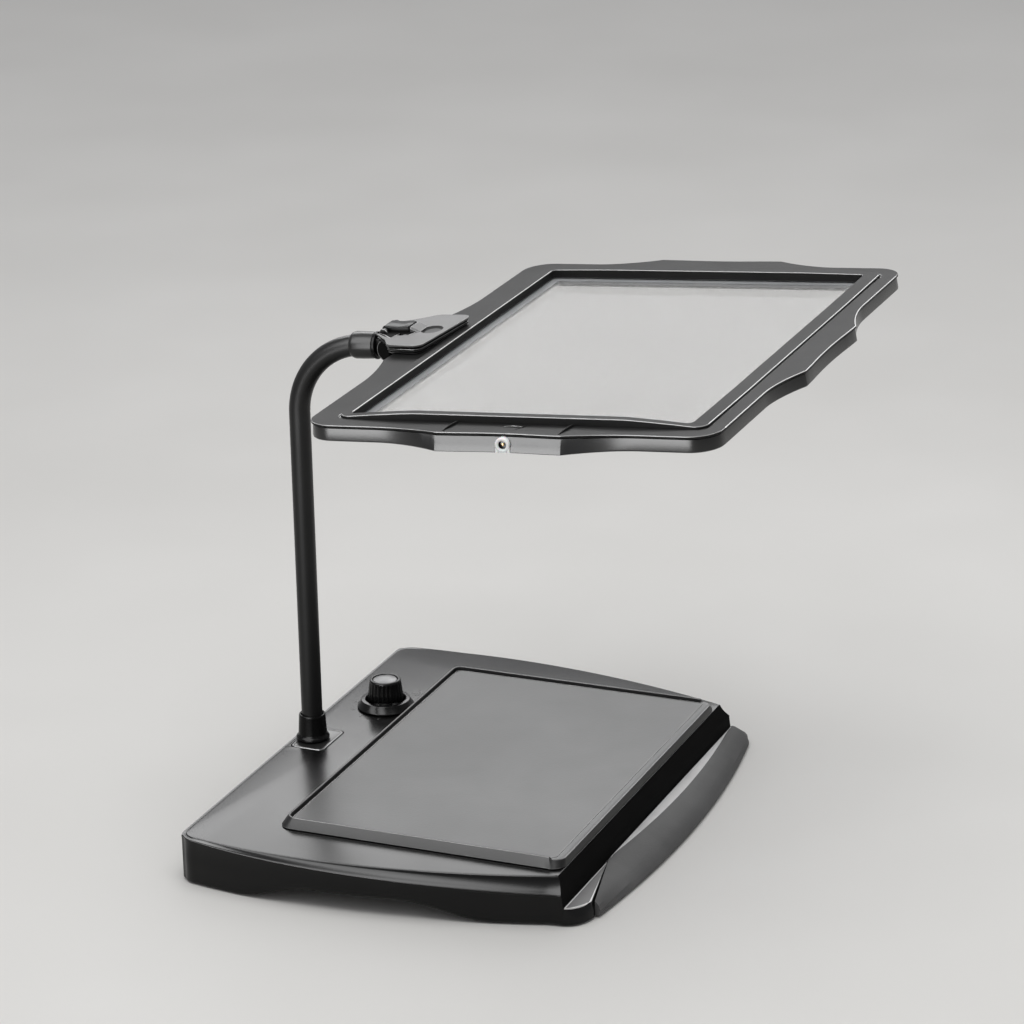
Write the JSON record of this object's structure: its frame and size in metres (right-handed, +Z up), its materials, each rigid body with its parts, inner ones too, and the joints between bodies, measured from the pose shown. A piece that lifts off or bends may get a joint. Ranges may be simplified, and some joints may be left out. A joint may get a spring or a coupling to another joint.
{
  "type": "video magnifier",
  "caption": "Hands-free page magnifier: a framed flat lens on a bending neck over a tray base with a dimmer knob, to enlarge a page while both hands stay free.",
  "frame": {"origin": "on the table, under the middle of the whole object's box", "axes": "+X to the reader's right, +Y away from the reader, +Z up"},
  "size_m": [0.308, 0.2964, 0.2684],
  "materials": {
    "base_plastic": "satin black moulded plastic with soft reflections",
    "tray_plastic": "satin charcoal plastic, very fine texture",
    "bumper_grip": "fine-grained matte charcoal",
    "cover_plastic": "matte black",
    "knob_plastic": "satin black",
    "knob_cap_grey": "matte light grey",
    "neck_sleeve": "smooth satin black sleeve over the metal flex",
    "collar_plastic": "satin black",
    "frame_plastic": "fine-textured dark grey",
    "clip_grey": "fine-textured mid grey",
    "latch_plastic": "satin black",
    "lens_clear": "clear acrylic with a fine ringed lower face",
    "light_window": "milky diffuser",
    "jack_white": "white moulded socket",
    "contact_brass": "plated contact",
    "steel": "zinc-plated",
    "foot_rubber": "matte black",
    "lead_sheath": "matte black sheath",
    "board_green": "solder-masked circuit board"
  },
  "bodies": {
    "base": {"base_shell": "base_plastic", "front_bumper": "bumper_grip", "base_cover": "cover_plastic", "tray": "tray_plastic", "counterweight": "steel", "foot_1": "foot_rubber", "foot_2": "foot_rubber", "foot_3": "foot_rubber", "foot_4": "foot_rubber", "base_screw_1": "steel", "base_screw_2": "steel", "base_screw_3": "steel", "base_screw_4": "steel", "dimmer_board": "board_green", "pot_body": "steel", "knob_bezel": "knob_plastic", "neck_plate": "collar_plastic", "neck_collar": "collar_plastic", "neck_nut": "steel", "neck_link_1": "neck_sleeve", "lead_1": "lead_sheath"},
    "knob": {"knob": "knob_plastic", "knob_cap": "knob_cap_grey", "pot_shaft": "steel"},
    "neck_2": {"neck_link_2": "neck_sleeve", "lead_2": "lead_sheath"},
    "neck_3": {"neck_link_3": "neck_sleeve", "lead_3": "lead_sheath"},
    "neck_4": {"neck_link_4": "neck_sleeve", "lead_4": "lead_sheath"},
    "neck_5": {"neck_link_5": "neck_sleeve", "lead_5": "lead_sheath"},
    "neck_6": {"neck_link_6": "neck_sleeve", "lead_6": "lead_sheath"},
    "neck_7": {"neck_link_7": "neck_sleeve", "lead_7": "lead_sheath", "neck_ferrule": "collar_plastic", "tilt_knuckle": "collar_plastic"},
    "lens_head": {"tilt_pin": "steel", "clip_body": "latch_plastic", "clip_cover": "clip_grey", "latch_pin": "steel", "frame_top": "frame_plastic", "frame_bottom": "frame_plastic", "page_lens": "lens_clear", "light_board_left": "board_green", "light_board_right": "board_green", "light_window_left": "light_window", "light_window_right": "light_window", "power_jack": "jack_white", "jack_pin": "contact_brass", "frame_screw_1": "steel", "frame_screw_2": "steel", "frame_screw_3": "steel", "frame_screw_4": "steel"},
    "latch": {"latch_lever": "latch_plastic"}
  },
  "joints": [
    {"name": "neck_sway", "type": "hinge", "parent": "base", "child": "neck_2", "pos_m": [0, 0.13796, 0.065], "axis": [0, 1, 0], "range_deg": [-6, 6]},
    {"name": "neck_bend", "type": "hinge", "parent": "neck_2", "child": "neck_3", "pos_m": [0, 0.13796, 0.09926], "axis": [1, 0, 0], "range_deg": [-12, 5]},
    {"name": "neck_sway_2", "type": "hinge", "parent": "neck_3", "child": "neck_4", "pos_m": [0, 0.13796, 0.13351], "axis": [0, 1, 0], "range_deg": [-6, 6]},
    {"name": "neck_bend_2", "type": "hinge", "parent": "neck_4", "child": "neck_5", "pos_m": [0, 0.13796, 0.16777], "axis": [1, 0, 0], "range_deg": [-12, 5]},
    {"name": "neck_sway_3", "type": "hinge", "parent": "neck_5", "child": "neck_6", "pos_m": [0, 0.13796, 0.20203], "axis": [0, 1, 0], "range_deg": [-6, 6]},
    {"name": "neck_bend_3", "type": "hinge", "parent": "neck_6", "child": "neck_7", "pos_m": [0, 0.1265, 0.23326], "axis": [1, 0, 0], "range_deg": [-12, 5]},
    {"name": "lens_tilt", "type": "hinge", "parent": "neck_7", "child": "lens_head", "pos_m": [0, 0.08289, 0.24651], "axis": [1, 0, 0], "range_deg": [-15, 30]},
    {"name": "latch_flip", "type": "hinge", "parent": "lens_head", "child": "latch", "pos_m": [0, 0.08532, 0.25595], "axis": [-1, 0, 0], "range_deg": [0, 55]},
    {"name": "knob_turn", "type": "hinge", "parent": "base", "child": "knob", "pos_m": [0.0535, 0.11996, 0.035], "axis": [0, 0, 1], "range_deg": [-270, 0]}
  ],
  "couplings": [
    {"joint": "neck_sway_2", "follows": "neck_sway", "ratio": 1},
    {"joint": "neck_bend_2", "follows": "neck_bend", "ratio": 1},
    {"joint": "neck_sway_3", "follows": "neck_sway", "ratio": 1},
    {"joint": "neck_bend_3", "follows": "neck_bend", "ratio": 1}
  ]
}
